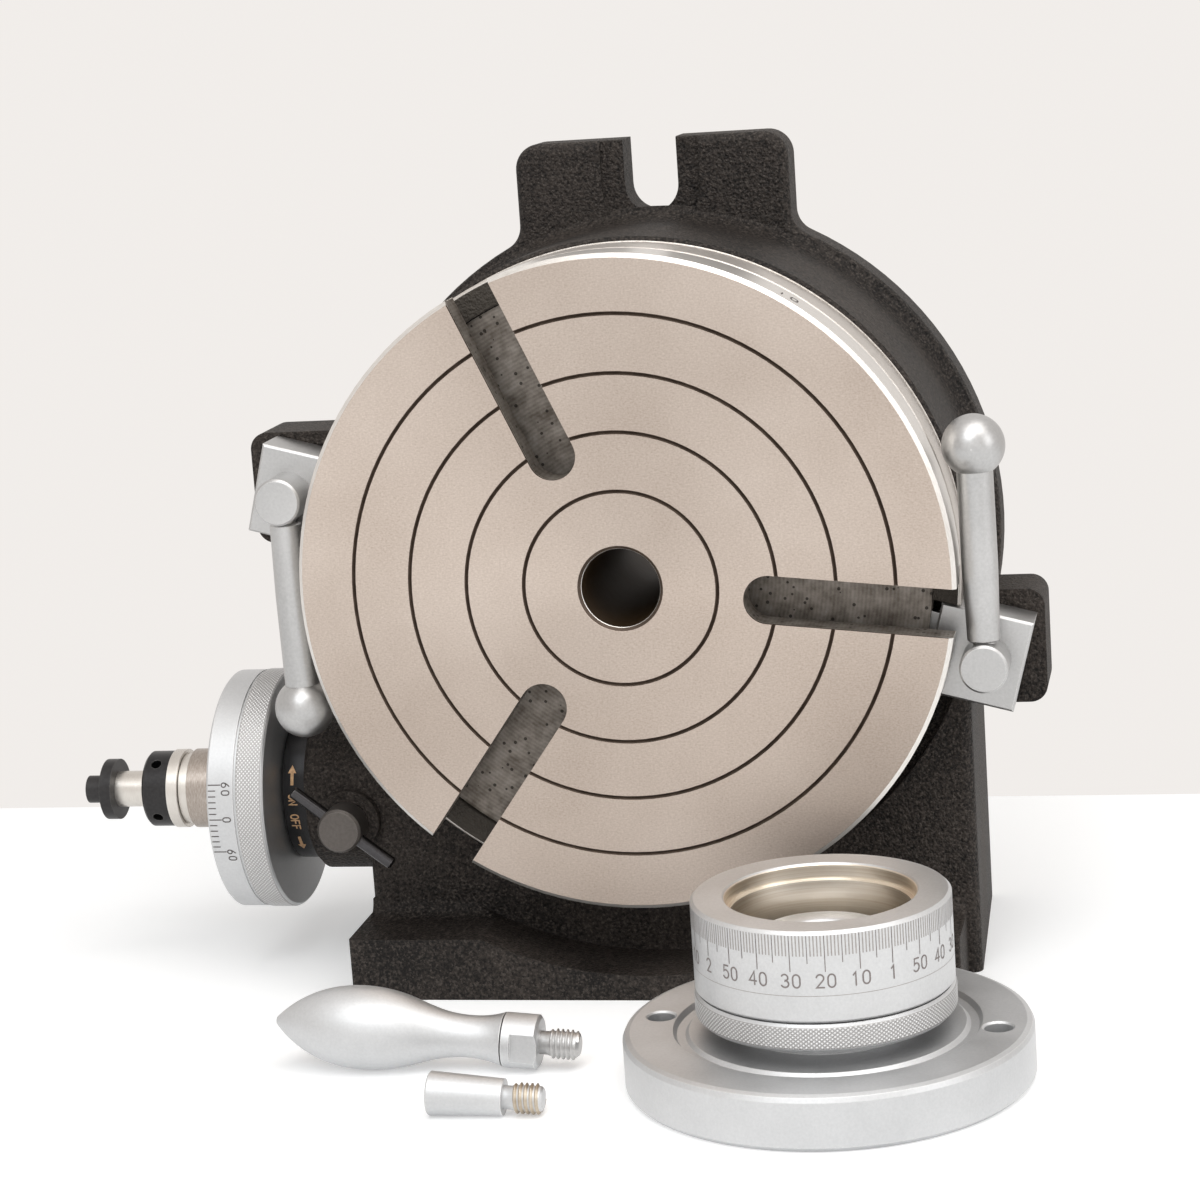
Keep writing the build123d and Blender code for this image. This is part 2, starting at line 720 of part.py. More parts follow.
def handwheel_shape():
    """Disc handwheel lying on its outer side, hub up, with two tapped holes for the handles."""
    rim = handwheel_radius
    top = handwheel_rim
    wheel = upright([
        (0, 1.2),
        (8, 1.2),
        (9, 0),
        (rim - 1.2, 0),
        (rim, 1.2),
        (rim, top - 1.4),
        (rim - 0.5, top - 0.4),
        (rim - 1.6, top),
        (rim - 10.8, top),
        (rim - 11.6, top - 1.2),
        (rim - 13.4, top - 1.2),
        (rim - 14.2, top - 0.4),
        (19, top - 0.4),
        (19, dial_seat - seat_gap),
        (handwheel_hub_radius, dial_seat - seat_gap),
        (handwheel_hub_radius, handwheel_hub_top - 0.6),
        (handwheel_hub_radius - 0.6, handwheel_hub_top),
        (0, handwheel_hub_top),
    ])
    wheel -= upright([(0, -1), (shaft_radius + running, -1), (shaft_radius + running, 30), (0, 30)])
    for turn in (0, 180):
        tap = upright([(0, 3), (handwheel_tap_radius, 3), (handwheel_tap_radius, top - 0.4),
                       (handwheel_tap_radius + 0.4, top), (handwheel_tap_radius + 0.4, top + 1), (0, top + 1)])
        wheel -= Rot(0, 0, handwheel_hole_turn + turn) * Pos(handwheel_hole_reach, 0, 0) * tap
    return wheel


def dial_collar_shape():
    """Graduated collar: wide mouth, bore, web that sits on the handwheel, and a neck for the ring."""
    return upright([
        (handwheel_hub_radius + slide_gap, dial_seat),
        (dial_neck_radius, dial_seat),
        (dial_neck_radius, dial_groove + 0.2),
        (dial_radius - 0.6, dial_groove + 0.2),
        (dial_radius, dial_groove + 0.8),
        (dial_radius, dial_top - 0.7),
        (dial_radius - 0.7, dial_top),
        (dial_mouth_radius + 0.5, dial_top),
        (dial_mouth_radius, dial_top - 0.5),
        (dial_mouth_radius, dial_top - 3.5),
        (dial_bore_radius, dial_top - 3.5),
        (dial_bore_radius, dial_seat + 3.2),
        (handwheel_hub_radius + slide_gap, dial_seat + 3.2),
    ])


def dial_lock_ring_shape():
    return upright([
        (dial_neck_radius + running, dial_seat),
        (dial_radius - 0.8, dial_seat),
        (dial_radius, dial_seat + 0.8),
        (dial_radius, dial_groove - 0.6),
        (dial_radius - 0.4, dial_groove),
        (dial_neck_radius + running, dial_groove),
    ])


def handle_grip_shape():
    """Turned grip: pointed tip, full belly, waist and flared end, bored for its spindle."""
    belly = handle_belly_radius
    outline = Spline(
        (0, 0.09 * belly),
        (0.25 * handle_belly_at, 0.55 * belly),
        (0.58 * handle_belly_at, 0.88 * belly),
        (handle_belly_at, belly),
        (0.57 * handle_grip_end, 0.86 * belly),
        (0.73 * handle_grip_end, 0.58 * belly),
        (0.86 * handle_grip_end, 0.505 * belly),
        (0.94 * handle_grip_end, 0.55 * belly),
        (handle_grip_end, ferrule_radius - 0.05),
    )
    closing = Polyline((handle_grip_end, ferrule_radius - 0.05), (handle_grip_end, 0), (0, 0), (0, 0.09 * belly))
    grip = revolve(make_face(outline + closing), Axis.X)
    bore = along_lever([(14, 0), (14, 2.9), (handle_grip_end + 1, 2.9), (handle_grip_end + 1, 0)])
    return grip - bore


def handle_spindle_shape():
    """Spindle with its collar, two wrench flats and the stud that screws into the handwheel."""
    spindle = along_lever([
        (14.5, 0),
        (14.5, 2.85),
        (handle_grip_end + 0.3, 2.85),
        (handle_grip_end + 0.3, ferrule_radius),
        (ferrule_end - 0.6, ferrule_radius),
        (ferrule_end, ferrule_radius - 0.8),
        (ferrule_end, stud_radius - 0.75),
        (ferrule_end + 1.6, stud_radius - 0.75),
        (ferrule_end + 2, stud_radius),
        (handle_stud_end - 0.8, stud_radius),
        (handle_stud_end, stud_radius - 0.8),
        (handle_stud_end, 0),
    ])
    for sign in (-1, 1):
        flat = Box(5.9, 4, 20, align=(Align.MIN, Align.CENTER, Align.CENTER))
        spindle -= Pos(ferrule_end - 5.9, sign * (0.85 * ferrule_radius + 2), 0) * flat
    return spindle


def taper_knob_shape():
    return along_lever([
        (0, 0),
        (0, knob_large_radius - 0.3),
        (0.3, knob_large_radius),
        (knob_length, knob_small_radius),
        (knob_length, stud_radius - 0.8),
        (knob_length + 1.7, stud_radius - 0.8),
        (knob_length + 2, stud_radius),
        (knob_stud_end - 0.5, stud_radius),
        (knob_stud_end, stud_radius - 0.5),
        (knob_stud_end, 0),
    ])


def lying(place, at, tilt, height):
    """Frame of a turned piece lying on the floor along +X; height is that of its axis at length at."""
    return Location((place[0], place[1], height), (0, tilt, 0)) * Pos(-at, 0, 0)


handle_tilt = degrees(atan2(handle_belly_radius - ferrule_radius, ferrule_end - handle_belly_at))
handle_lie = lying(handle_place, handle_belly_at, handle_tilt, handle_belly_radius / cos(radians(handle_tilt)))
knob_tilt = degrees(atan2(knob_large_radius - knob_small_radius, knob_length))
knob_lie = lying(knob_place, 0, knob_tilt, knob_large_radius / cos(radians(knob_tilt)))
wheel_lie = Pos(handwheel_place[0], handwheel_place[1], 0)

nodes = {
    "base_casting": FACE * base_casting_shape(),
    "table": FACE * table_shape(),
    "worm_wheel": FACE * worm_wheel_shape(),
    "thrust_washer": FACE * tube(locknut_radius, journal_radius + running, boss_back + seat_gap,
                                 boss_back + seat_gap + thrust_washer_thickness),
    "spindle_locknut": FACE * locknut_shape(),
    "rear_cover": FACE * cover_shape(),
    "worm_shaft": FACE * worm_shaft_shape(),
    "eccentric_sleeve": FACE * eccentric_sleeve_shape(),
    "worm_front_bush": FACE * worm_ring(journal_front_radius + front_bush_wall, journal_front_radius + running,
                                        nose_end + seat_gap, nose_end + seat_gap + front_bush_length),
    "worm_rear_bush": FACE * worm_ring(sleeve_bore_radius - 0.02, journal_rear_radius + running,
                                       trough_half_length + 0.3, sleeve_end - 0.2),
    "thrust_bearing": FACE * worm_ring(nose_radius - 1.0, journal_front_radius + running,
                                       bearing_left + seat_gap, nose_end - seat_gap),
    "thrust_collar": FACE * worm_ring(collar_radius, journal_front_radius, collar_left, bearing_left),
    "round_nut": FACE * round_nut_shape(),
    "shaft_washer": FACE * worm_ring(washer_radius, cap_screw_radius, washer_left, shaft_end),
    "shaft_cap_screw": FACE * cap_screw_shape(),
    "vernier_ring": FACE * vernier_ring_shape(),
    "vernier_ring_screw": FACE * ring_screw(0, ring_radius - 0.5),
    "lock_screw": FACE * lock_screw_shape(),
    "lock_pad": FACE * lock_pad_shape(),
    "lock_bar": FACE * lock_bar_shape(),
    "handwheel": wheel_lie * handwheel_shape(),
    "dial_collar": wheel_lie * dial_collar_shape(),
    "dial_lock_ring": wheel_lie * dial_lock_ring_shape(),
    "handle_grip": handle_lie * handle_grip_shape(),
    "handle_spindle": handle_lie * handle_spindle_shape(),
    "taper_knob": knob_lie * taper_knob_shape(),
}
for index in range(wheel_screw_count):
    nodes[f"wheel_screw_{index + 1}"] = FACE * wheel_screw_shape(index)
for index in range(cover_screw_count):
    nodes[f"cover_screw_{index + 1}"] = FACE * cover_screw_shape(index)
for side, label in enumerate(("right", "left")):
    nodes[f"clamp_block_{label}"] = FACE * clamp_block_shape(side)
    nodes[f"clamp_screw_{label}"] = FACE * clamp_screw_shape(side)
    nodes[f"clamp_lever_{label}"] = FACE * clamp_lever_shape(side)
    nodes[f"clamp_ball_{label}"] = FACE * clamp_ball_shape(side)

os.makedirs("parts", exist_ok=True)
for name, shape in nodes.items():
    export_step(shape, f"parts/{name}.step")
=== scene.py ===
import json
from math import atan2, cos, pi, radians, sin

import bmesh
import bpy
from mathutils import Matrix, Vector


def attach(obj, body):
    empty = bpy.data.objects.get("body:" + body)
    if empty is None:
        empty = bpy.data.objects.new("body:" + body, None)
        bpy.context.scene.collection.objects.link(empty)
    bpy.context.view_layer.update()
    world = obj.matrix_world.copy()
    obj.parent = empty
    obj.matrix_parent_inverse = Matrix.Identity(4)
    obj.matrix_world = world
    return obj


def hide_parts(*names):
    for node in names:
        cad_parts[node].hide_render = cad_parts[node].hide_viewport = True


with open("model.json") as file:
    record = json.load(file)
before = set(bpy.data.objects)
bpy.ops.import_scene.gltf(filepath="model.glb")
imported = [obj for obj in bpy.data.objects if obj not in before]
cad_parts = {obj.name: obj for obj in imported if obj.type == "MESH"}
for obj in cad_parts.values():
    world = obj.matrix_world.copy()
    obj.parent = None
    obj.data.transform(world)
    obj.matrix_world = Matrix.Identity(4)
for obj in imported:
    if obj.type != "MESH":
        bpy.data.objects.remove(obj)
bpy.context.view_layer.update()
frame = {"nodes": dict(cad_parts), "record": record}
cad = frame["nodes"]
MM = 0.001

# Places and sizes of the object in millimetres: Z up, the table face looks along -Y
AXIS_Z = 97.5
FACE_Y = -40.0
TABLE_R = 75.0
FACE_R = 73.9
BAND_R = 75.25
RECESS_R = 74.3
BAND_NEAR = FACE_Y + 13.3
BAND_FAR = FACE_Y + 26.08
RECESS_FAR = FACE_Y + 58.0
ZERO_MARK_ANGLE = 34.2
WORM_Y = -3.0
WORM_Z = 42.5
SLEEVE_Y = -0.5
SLEEVE_R = 18.0
FLANGE_MIDDLE = -88.3
RING_R = 29.0
RING_LEFT = -105.4
RING_RIGHT = -91.4
KNURL_LEFT = -98.02
WHEEL_X = 47.8
WHEEL_Y = -84.8
HUB_R = 14.3
HUB_TOP = 32.0
HUB_FOOT = 20.0
HUB_COUNTERBORE_R = 8.0
HUB_COUNTERBORE_FLOOR = 25.2
DIAL_R = 27.5
DIAL_TOP = 40.8
DIAL_SEAT = 15.0
LOCK_RING_TOP = 21.1
DIAL_BORE_R = 20.45
DIAL_BORE_FLOOR = 17.0
HANDLE_X = -54.6
HANDLE_Y = -82.3
BELLY_R = 9.2
BELLY_AT = 20.5
FERRULE_R = 6.0
FERRULE_END = 59.7
HANDLE_END = 68.5
KNOB_X = -33.7
KNOB_Y = -109.2
KNOB_LENGTH = 16.2
KNOB_LARGE = 4.7
KNOB_SMALL = 3.9
KNOB_END = 24.6
STUD_R = 3.3


class Tree:
    """Node tree of one procedural material."""

    def __init__(self, name):
        self.material = bpy.data.materials.new(name)
        self.material.use_nodes = True
        self.tree = self.material.node_tree
        self.tree.nodes.clear()
        self.output = self.node("ShaderNodeOutputMaterial")
        self.shader = self.node("ShaderNodeBsdfPrincipled")
        self.link(self.shader.outputs[0], self.output.inputs[0])
        self.coords = self.node("ShaderNodeTexCoord").outputs["Object"]

    def node(self, kind, **settings):
        made = self.tree.nodes.new(kind)
        for key, value in settings.items():
            setattr(made, key, value)
        return made

    def link(self, source, target):
        self.tree.links.new(source, target)

    def put(self, socket, value):
        if isinstance(value, bpy.types.NodeSocket):
            self.link(value, socket)
        else:
            socket.default_value = value

    def math(self, operation, a, b=0.0):
        made = self.node("ShaderNodeMath", operation=operation)
        self.put(made.inputs[0], a)
        self.put(made.inputs[1], b)
        return made.outputs[0]

    def noise(self, scale, detail=3.0, roughness=0.5, stretch=(1, 1, 1), turn=(0, 0, 0)):
        mapping = self.node("ShaderNodeMapping")
        self.link(self.coords, mapping.inputs["Vector"])
        mapping.inputs["Scale"].default_value = stretch
        mapping.inputs["Rotation"].default_value = turn
        made = self.node("ShaderNodeTexNoise")
        self.link(mapping.outputs[0], made.inputs["Vector"])
        made.inputs["Scale"].default_value = scale
        made.inputs["Detail"].default_value = detail
        made.inputs["Roughness"].default_value = roughness
        return made.outputs["Fac"]

    def cells(self, scale):
        made = self.node("ShaderNodeTexVoronoi")
        self.link(self.coords, made.inputs["Vector"])
        made.inputs["Scale"].default_value = scale
        return made.outputs["Distance"]

    def spread(self, value, low, high, to_low=0.0, to_high=1.0):
        made = self.node("ShaderNodeMapRange", clamp=True)
        self.put(made.inputs["Value"], value)
        for key, number in (("From Min", low), ("From Max", high), ("To Min", to_low), ("To Max", to_high)):
            self.put(made.inputs[key], number)
        return made.outputs[0]

    def mix(self, factor, a, b):
        made = self.node("ShaderNodeMix", data_type="RGBA")
        self.put(made.inputs[0], factor)
        for socket, value in ((made.inputs[6], a), (made.inputs[7], b)):
            if isinstance(value, tuple):
                value = (*value, 1.0)
            self.put(socket, value)
        return made.outputs[2]

    def blend(self, factor, a, b):
        return self.math("ADD", self.math("MULTIPLY", self.math("SUBTRACT", 1.0, factor), a),
                         self.math("MULTIPLY", factor, b))

    def axes(self):
        made = self.node("ShaderNodeSeparateXYZ")
        self.link(self.coords, made.inputs[0])
        return made.outputs[0], made.outputs[1], made.outputs[2]

    def length(self, a, b):
        return self.math("SQRT", self.math("ADD", self.math("MULTIPLY", a, a), self.math("MULTIPLY", b, b)))

    def within(self, value, low, high):
        """1 where the value lies between two lengths in millimetres."""
        above = self.math("GREATER_THAN", value, low * MM)
        below = self.math("LESS_THAN", value, high * MM)
        return self.math("MULTIPLY", above, below)

    def edges(self, radius, low=0.02, high=0.25):
        """Worn mask along sharp edges."""
        bevel = self.node("ShaderNodeBevel", samples=4)
        bevel.inputs["Radius"].default_value = radius * MM
        geometry = self.node("ShaderNodeNewGeometry")
        dot = self.node("ShaderNodeVectorMath", operation="DOT_PRODUCT")
        self.link(bevel.outputs[0], dot.inputs[0])
        self.link(geometry.outputs["Normal"], dot.inputs[1])
        return self.spread(self.math("SUBTRACT", 1.0, dot.outputs["Value"]), low, high)

    def bump(self, height, strength, distance, round_edge=0.0):
        made = self.node("ShaderNodeBump")
        made.inputs["Strength"].default_value = strength
        made.inputs["Distance"].default_value = distance * MM
        self.put(made.inputs["Height"], height)
        if round_edge:
            bevel = self.node("ShaderNodeBevel", samples=4)
            bevel.inputs["Radius"].default_value = round_edge * MM
            self.link(bevel.outputs[0], made.inputs["Normal"])
        self.link(made.outputs[0], self.shader.inputs["Normal"])

    def finish(self, colour, roughness, metallic=1.0):
        self.put(self.shader.inputs["Base Color"], colour)
        self.put(self.shader.inputs["Roughness"], roughness)
        self.put(self.shader.inputs["Metallic"], metallic)
        return self.material


def metal(name, dark, light, rough, grain, lift, wear, stretch=(1, 1, 1), metallic=1.0, cloud=38.0):
    """Machined or plated metal: cloudy tone, fine grain, rubbed edges."""
    t = Tree(name)
    clouds = t.noise(cloud, 4.0, 0.55)
    fine = t.noise(grain, 2.0, 0.6, stretch)
    tone = t.math("ADD", t.math("MULTIPLY", clouds, 0.65), t.math("MULTIPLY", fine, 0.35))
    colour = t.mix(t.spread(tone, 0.32, 0.68), dark, light)
    colour = t.mix(t.edges(0.35), colour, wear)
    level = t.math("ADD", t.spread(clouds, 0.3, 0.7, rough[0], rough[1]), t.math("MULTIPLY", fine, 0.06))
    t.bump(fine, 0.35, lift, 0.25)
    return t.finish(colour, level, metallic)


def cast_paint():
    """Black paint on a sand casting, with bare machined band, base and rear face."""
    t = Tree("cast_paint")
    x, y, z = t.axes()
    up = t.math("SUBTRACT", z, AXIS_Z * MM)
    reach = t.length(x, up)
    band = t.math("MULTIPLY", t.within(reach, RECESS_R, BAND_R), t.within(y, BAND_NEAR, BAND_FAR))
    recess = t.math("MULTIPLY", t.within(reach, 0.0, RECESS_R), t.within(y, BAND_NEAR, RECESS_FAR))
    ground = t.math("LESS_THAN", z, 0.05 * MM)
    rear = t.math("GREATER_THAN", y, 39.95 * MM)
    bare = t.math("MAXIMUM", band, t.math("MAXIMUM", ground, rear))
    clouds = t.noise(24.0, 5.0, 0.6)
    sand = t.noise(1150.0, 3.0, 0.62)
    grit = t.cells(1500.0)
    rough_skin = t.math("ADD", t.math("MULTIPLY", sand, 0.8), t.math("MULTIPLY", grit, 0.45))
    tone = t.math("ADD", t.math("MULTIPLY", clouds, 0.45), t.math("MULTIPLY", sand, 0.55))
    paint = t.mix(t.spread(tone, 0.42, 0.64), (0.004, 0.0028, 0.0022), (0.058, 0.047, 0.04))
    # Light flecks: partly lighter grit of the casting, partly painted glints of light on the grit.
    grit_and_glint_flecks = t.spread(t.noise(1600.0, 2.0, 0.6), 0.52, 0.7)
    paint = t.mix(t.math("MULTIPLY", grit_and_glint_flecks, 0.5), paint, (0.13, 0.11, 0.096))
    paint = t.mix(t.math("MULTIPLY", t.edges(0.5, 0.05, 0.5), 0.35), paint, (0.1, 0.088, 0.078))
    steel_tone = t.noise(900.0, 2.0, 0.6, (1, 14, 1))
    steel = t.mix(t.spread(steel_tone, 0.3, 0.7), (0.56, 0.52, 0.48), (0.74, 0.7, 0.66))
    colour = t.mix(bare, t.mix(recess, paint, (0.07, 0.06, 0.05)), steel)
    skin = t.blend(bare, rough_skin, t.math("MULTIPLY", steel_tone, 0.06))
    rough = t.blend(bare, t.spread(clouds, 0.3, 0.7, 0.52, 0.66), 0.36)
    t.shader.inputs["Specular IOR Level"].default_value = 0.22
    t.bump(skin, 1.0, 0.55, 0.6)
    return t.finish(colour, rough, bare)


def table_face():
    """Ground cast iron face with dark brown circle grooves, milled T slots and a bright turned rim."""
    t = Tree("table_face")
    x, y, z = t.axes()
    up = t.math("SUBTRACT", z, AXIS_Z * MM)
    reach = t.length(x, up)
    depth = t.math("SUBTRACT", y, FACE_Y * MM)
    inside = t.math("LESS_THAN", reach, FACE_R * MM)
    flat = t.math("LESS_THAN", depth, 0.04 * MM)
    groove = t.math("MULTIPLY", inside, t.within(depth, 0.04, 0.7))
    sunk = t.math("GREATER_THAN", depth, 1.2 * MM)
    slot = t.math("MULTIPLY", t.math("LESS_THAN", reach, 74.85 * MM), sunk)
    bore = t.math("MULTIPLY", t.math("LESS_THAN", reach, 12.0 * MM), sunk)
    grain = t.noise(1100.0, 3.0, 0.6, (1, 1, 3.4), (0, 0.3, 0))
    speck = t.noise(2300.0, 1.0, 0.5)
    clouds = t.noise(20.0, 4.0, 0.55)
    tone = t.math("ADD", t.math("MULTIPLY", clouds, 0.4),
                  t.math("ADD", t.math("MULTIPLY", grain, 0.35), t.math("MULTIPLY", speck, 0.25)))
    face = t.mix(t.spread(tone, 0.36, 0.64), (0.41, 0.338, 0.286), (0.6, 0.52, 0.46))
    # The circle grooves are coloured dark brown.
    groove_dark_brown = t.mix(t.noise(300.0, 3.0), (0.035, 0.022, 0.015), (0.16, 0.118, 0.09))
    cutter = t.math("SINE", t.math("MULTIPLY", reach, 2 * pi / (0.9 * MM)))
    milled_tone = t.math("ADD", t.math("MULTIPLY", t.noise(260.0, 5.0, 0.65), 0.8),
                         t.math("MULTIPLY", cutter, 0.03))
    milled = t.mix(t.spread(milled_tone, 0.25, 0.6), (0.13, 0.108, 0.088), (0.4, 0.36, 0.32))
    pits = t.math("LESS_THAN", t.cells(420.0), 0.17)
    milled = t.mix(t.math("MULTIPLY", pits, 0.8), milled, (0.012, 0.009, 0.007))
    turned = t.noise(700.0, 2.0, 0.5, (1, 22, 1))
    rim = t.mix(t.spread(turned, 0.3, 0.7), (0.66, 0.63, 0.595), (0.86, 0.835, 0.8))
    colour = t.mix(flat, rim, face)
    colour = t.mix(groove, colour, groove_dark_brown)
    colour = t.mix(slot, colour, milled)
    # The centre bore is coloured very dark brown.
    bore_dark_brown = t.mix(clouds, (0.012, 0.007, 0.003), (0.1, 0.055, 0.02))
    colour = t.mix(bore, colour, bore_dark_brown)
    rough = t.blend(flat, 0.34, t.spread(grain, 0.3, 0.7, 0.36, 0.45))
    rough = t.blend(t.math("MAXIMUM", groove, slot), rough, t.spread(clouds, 0.3, 0.7, 0.45, 0.62))
    relief = t.blend(slot, t.math("MULTIPLY", grain, 0.16),
                     t.math("ADD", t.noise(500.0, 4.0), t.math("MULTIPLY", cutter, 0.12)))
    t.bump(relief, 0.4, 0.08)
    lathe_turns = t.node("ShaderNodeTangent", direction_type="RADIAL", axis="Y")
    t.link(lathe_turns.outputs[0], t.shader.inputs["Tangent"])
    t.put(t.shader.inputs["Anisotropic"], t.blend(flat, 0.0, 0.6))
    return t.finish(colour, rough, t.blend(t.math("MAXIMUM", groove, slot), 1.0, 0.6))


def sleeve_material():
    """Black oxide sleeve whose ground nose outside the vernier ring is bright."""
    t = Tree("sleeve_steel")
    x, y, z = t.axes()
    nose = t.math("LESS_THAN", x, (RING_RIGHT + 0.4) * MM)
    clouds = t.noise(60.0, 4.0, 0.55)
    turned = t.noise(800.0, 2.0, 0.6, (26, 1, 1))
    black = t.mix(t.spread(clouds, 0.3, 0.7), (0.012, 0.0115, 0.012), (0.028, 0.027, 0.028))
    bright = t.mix(t.spread(turned, 0.3, 0.7), (0.24, 0.2, 0.17), (0.52, 0.465, 0.42))
    colour = t.mix(nose, black, bright)
    rough = t.blend(nose, t.spread(clouds, 0.3, 0.7, 0.2, 0.3), 0.3)
    t.bump(turned, 0.3, 0.03, 0.25)
    return t.finish(colour, rough, t.blend(nose, 0.7, 1.0))


def mark_material(name, dark, light, rough=0.6, metallic=0.0):
    """Ink or paint of an engraved mark, finely flecked."""
    t = Tree(name)
    fleck = t.noise(1500.0, 3.0, 0.6)
    colour = t.mix(t.spread(fleck, 0.3, 0.7), dark, light)
    t.bump(fleck, 0.3, 0.02)
    return t.finish(colour, t.spread(fleck, 0.2, 0.8, rough - 0.1, rough + 0.1), metallic)


def dial_material():
    """Satin chrome with a high-polish, slightly yellow bore of the dial; the yellow tone is a painted reflection.
    """
    t = Tree("dial_chrome")
    x, y, z = t.axes()
    reach = t.length(t.math("SUBTRACT", x, WHEEL_X * MM), t.math("SUBTRACT", y, WHEEL_Y * MM))
    bore = t.math("MULTIPLY", t.math("LESS_THAN", reach, DIAL_BORE_R * MM),
                  t.within(z, DIAL_BORE_FLOOR, DIAL_TOP - 0.3))
    clouds = t.noise(45.0, 4.0, 0.55)
    fine = t.noise(1700.0, 2.0, 0.6)
    turned = t.noise(420.0, 2.0, 0.5, (0.05, 0.05, 8.0))
    tone = t.math("ADD", t.math("MULTIPLY", clouds, 0.6), t.math("MULTIPLY", fine, 0.4))
    satin = t.mix(t.spread(tone, 0.3, 0.7), (0.57, 0.574, 0.578), (0.69, 0.694, 0.697))
    # Bright warm yellow of the bore: a painted reflection over the high-polish finish.
    polished_with_reflection = t.mix(t.spread(turned, 0.3, 0.7), (0.76, 0.67, 0.56), (0.9, 0.84, 0.75))
    colour = t.mix(bore, satin, polished_with_reflection)
    rough = t.blend(bore, t.spread(clouds, 0.3, 0.7, 0.42, 0.52), 0.3)
    t.bump(t.blend(bore, fine, t.math("MULTIPLY", turned, 0.5)), 0.3, 0.025, 0.25)
    return t.finish(colour, rough, 1.0)


def knurl_material(name, radius, about_worm_axis):
    """Crossed knurl: rubbed crests and valleys darkened as painted shade, told apart by the distance from the
    axis.
    """
    t = Tree(name)
    x, y, z = t.axes()
    if about_worm_axis:
        reach = t.length(t.math("SUBTRACT", y, WORM_Y * MM), t.math("SUBTRACT", z, WORM_Z * MM))
    else:
        reach = t.length(t.math("SUBTRACT", x, WHEEL_X * MM), t.math("SUBTRACT", y, WHEEL_Y * MM))
    crest = t.spread(reach, (radius + 0.03) * MM, (radius + 0.24) * MM)
    clouds = t.noise(60.0, 4.0, 0.55)
    # The darker valleys are painted shade between the crests.
    valley_painted_shade = t.mix(clouds, (0.34, 0.33, 0.325), (0.46, 0.45, 0.445))
    top = t.mix(clouds, (0.76, 0.765, 0.77), (0.88, 0.883, 0.885))
    t.bump(t.noise(1700.0, 2.0, 0.6), 0.3, 0.02)
    return t.finish(t.mix(crest, valley_painted_shade, top), t.spread(crest, 0.0, 1.0, 0.55, 0.4), 1.0)


paint = cast_paint()
face_metal = table_face()
chrome = metal("satin_chrome", (0.54, 0.546, 0.552), (0.66, 0.664, 0.67), (0.43, 0.53), 1700.0, 0.03,
               wear=(0.86, 0.86, 0.85))
dial_chrome = dial_material()
nickel = metal("nickel_steel", (0.42, 0.417, 0.413), (0.56, 0.556, 0.552), (0.3, 0.42), 1500.0, 0.03,
               wear=(0.8, 0.79, 0.78))
oxide = metal("black_oxide", (0.022, 0.021, 0.022), (0.05, 0.048, 0.048), (0.3, 0.44), 1300.0, 0.03,
              wear=(0.14, 0.135, 0.13), metallic=0.75)
polished_oxide = metal("polished_oxide", (0.05, 0.048, 0.05), (0.085, 0.082, 0.085), (0.14, 0.22), 1300.0,
                       0.015, wear=(0.3, 0.29, 0.285), metallic=0.95)
worn_oxide = metal("worn_oxide", (0.085, 0.075, 0.068), (0.15, 0.135, 0.125), (0.4, 0.52), 1300.0, 0.03,
                   wear=(0.24, 0.22, 0.2), metallic=0.8)
steel = metal("bright_steel", (0.5, 0.46, 0.42), (0.78, 0.75, 0.7), (0.2, 0.34), 900.0, 0.03,
              wear=(0.85, 0.83, 0.8), stretch=(30, 1, 1))
bronze = metal("bronze", (0.42, 0.26, 0.11), (0.62, 0.41, 0.2), (0.28, 0.4), 1100.0, 0.03,
               wear=(0.78, 0.56, 0.3))
stud_metal = metal("stud_metal", (0.4, 0.395, 0.39), (0.58, 0.575, 0.57), (0.3, 0.4), 1500.0, 0.02,
                   wear=(0.8, 0.79, 0.78))
stained = metal("stained_thread", (0.36, 0.29, 0.21), (0.62, 0.55, 0.45), (0.28, 0.4), 1100.0, 0.02,
                wear=(0.8, 0.77, 0.72), cloud=220.0)
ink = mark_material("engraved_ink", (0.05, 0.042, 0.04), (0.12, 0.1, 0.095))
dial_ink = mark_material("dial_ink", (0.19, 0.165, 0.16), (0.3, 0.265, 0.255), 0.55, 0.3)
fine_ink = mark_material("fine_line_ink", (0.33, 0.3, 0.285), (0.44, 0.41, 0.395), 0.5, 0.5)
gold = mark_material("gold_paint", (0.36, 0.2, 0.1), (0.62, 0.4, 0.22), 0.45, 0.4)

BY_NODE = {
    "base_casting": paint,
    "table": face_metal,
    "dial_collar": dial_chrome,
    "eccentric_sleeve": sleeve_material(),
    "thrust_collar": steel,
    "thrust_bearing": steel,
    "lock_screw": worn_oxide,
    "lock_bar": polished_oxide,
}
BY_SLOT = {
    "bronze": bronze,
    "black_oxide": oxide,
    "bright_steel": steel,
    "nickel_steel": nickel,
    "satin_chrome": chrome,
    "casting_paint": paint,
    "ground_face": face_metal,
}
slots = {part["node"]: part["material_slot"] for part in frame["record"]["subparts"]}
for name, obj in cad.items():
    finish = BY_NODE.get(name) or BY_SLOT[slots[name]]
    obj.data.materials.clear()
    obj.data.materials.append(finish)


def add_mesh(name, verts, faces, material, body, slot, smooth=True):
    """Adds a piece whose points are in millimetres; it rides on a body and takes the given material. The slot
    argument is not used.
    """
    mesh = bpy.data.meshes.new(name)
    mesh.from_pydata([Vector(v) * MM for v in verts], [], faces)
    mesh.materials.append(material)
    mesh.polygons.foreach_set("use_smooth", [smooth] * len(mesh.polygons))
    mesh.update()
    obj = bpy.data.objects.new(name, mesh)
    bpy.context.scene.collection.objects.link(obj)
    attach(obj, body)
    return obj


def arc(cx, cy, rx, ry, start, end, count=14):
    """Points of an elliptic arc between two angles in degrees."""
    return [(cx + rx * cos(radians(start + (end - start) * i / count)),
             cy + ry * sin(radians(start + (end - start) * i / count))) for i in range(count + 1)]


